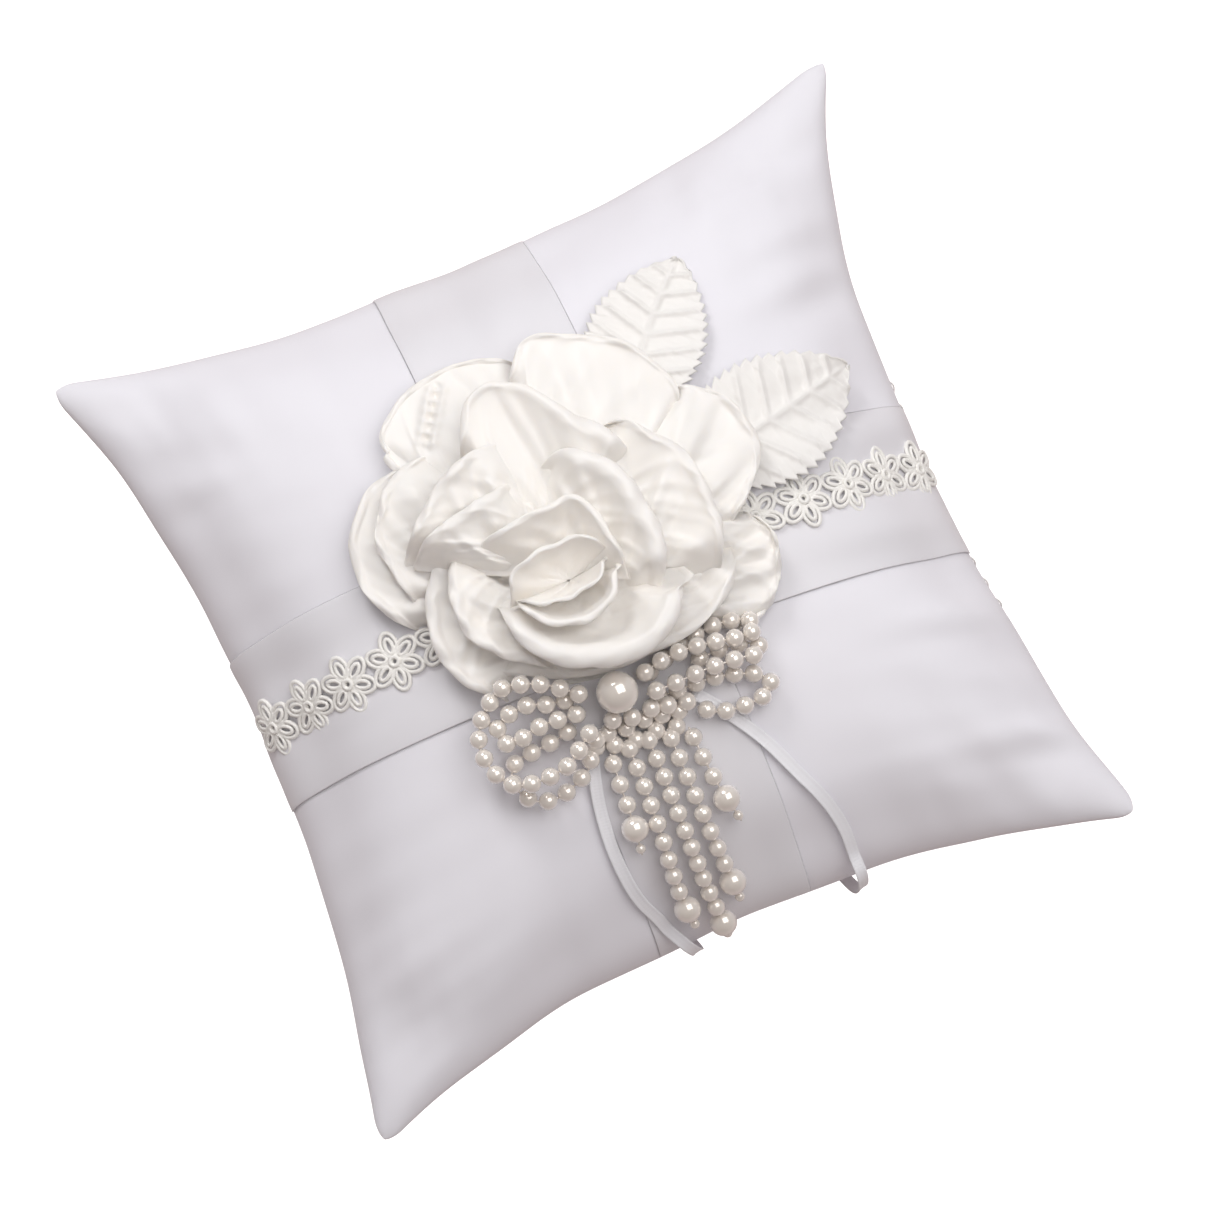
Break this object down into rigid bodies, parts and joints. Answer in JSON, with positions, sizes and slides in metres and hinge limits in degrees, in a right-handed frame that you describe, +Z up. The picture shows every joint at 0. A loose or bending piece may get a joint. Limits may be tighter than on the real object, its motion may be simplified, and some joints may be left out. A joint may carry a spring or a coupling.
{
  "type": "ring bearer pillow",
  "caption": "Satin wedding ring pillow with crossed sashes, daisy lace, a satin rose with leaves, and a strung pearl bow with hanging tails and tie ribbons.",
  "frame": {"origin": "on the resting surface, under the middle of the pillow", "axes": "+Z up out of the decorated front panel, +X to the right along the crosswise sash, +Y to the back edge, away from the pearl tails"},
  "size_m": [0.2, 0.2, 0.0901],
  "materials": {
    "cover_satin": "soft satin",
    "fibre": "fluffy polyester fibre",
    "sewing_thread": "matt thread",
    "sash_satin": "glossy satin",
    "lace_thread": "embroidered thread",
    "felt": "matt felt",
    "rose_satin": "satin, soft sheen",
    "leaf_satin": "pressed satin",
    "pearl": "pearl lustre",
    "ribbon_satin": "glossy satin"
  },
  "bodies": {
    "pillow": {"front_panel": "cover_satin", "back_panel": "cover_satin", "fibre_filling": "fibre", "closing_stitch": "sewing_thread", "bow_knot": "sewing_thread", "lengthwise_sash": "sash_satin", "crosswise_sash": "sash_satin", "daisy_lace": "lace_thread", "rose_backing": "felt", "rose_bud": "rose_satin", "outer_petal_pleated": "rose_satin", "outer_petal_left": "rose_satin", "outer_petal_right_low": "rose_satin", "outer_petal_right": "rose_satin", "outer_petal_left_upper": "rose_satin", "outer_petal_front": "rose_satin", "outer_petal_top": "rose_satin", "outer_petal_left_low": "rose_satin", "middle_petal_right": "rose_satin", "middle_petal_left_low": "rose_satin", "middle_petal_cup": "rose_satin", "middle_petal_left": "rose_satin", "inner_petal_left": "rose_satin", "inner_petal_right": "rose_satin", "inner_petal_front": "rose_satin", "heart_petal_front": "rose_satin", "heart_petal_back": "rose_satin", "back_leaf": "leaf_satin", "right_leaf": "leaf_satin", "centre_pearl": "pearl", "left_pearl_loop_outer": "pearl", "left_pearl_loop_inner": "pearl", "left_pearl_loop_lower": "pearl", "right_pearl_loop_upper": "pearl", "right_pearl_loop_inner": "pearl", "right_pearl_loop_lower": "pearl", "left_tie_ribbon": "ribbon_satin", "right_tie_ribbon": "ribbon_satin"},
    "pearl_tail_1": {"pearl_tail_1": "pearl"},
    "pearl_tail_2": {"pearl_tail_2": "pearl"},
    "pearl_tail_3": {"pearl_tail_3": "pearl"},
    "pearl_tail_4": {"pearl_tail_4": "pearl"},
    "pearl_tail_5": {"pearl_tail_5": "pearl"}
  },
  "joints": [
    {"name": "tail_lift_1", "type": "hinge", "parent": "pillow", "child": "pearl_tail_1", "pos_m": [-0.01519, -0.04277, 0.06453], "axis": [-1, 0, 0], "range_deg": [0, 90]},
    {"name": "tail_lift_2", "type": "hinge", "parent": "pillow", "child": "pearl_tail_2", "pos_m": [-0.01053, -0.04124, 0.0651], "axis": [-1, 0, 0], "range_deg": [0, 90]},
    {"name": "tail_lift_3", "type": "hinge", "parent": "pillow", "child": "pearl_tail_3", "pos_m": [-0.00567, -0.04125, 0.06524], "axis": [-1, 0, 0], "range_deg": [0, 90]},
    {"name": "tail_lift_4", "type": "hinge", "parent": "pillow", "child": "pearl_tail_4", "pos_m": [-0.00081, -0.04279, 0.06495], "axis": [-1, 0, 0], "range_deg": [0, 90]},
    {"name": "tail_lift_5", "type": "hinge", "parent": "pillow", "child": "pearl_tail_5", "pos_m": [0.00405, -0.04432, 0.06455], "axis": [-1, 0, 0], "range_deg": [0, 90]}
  ]
}
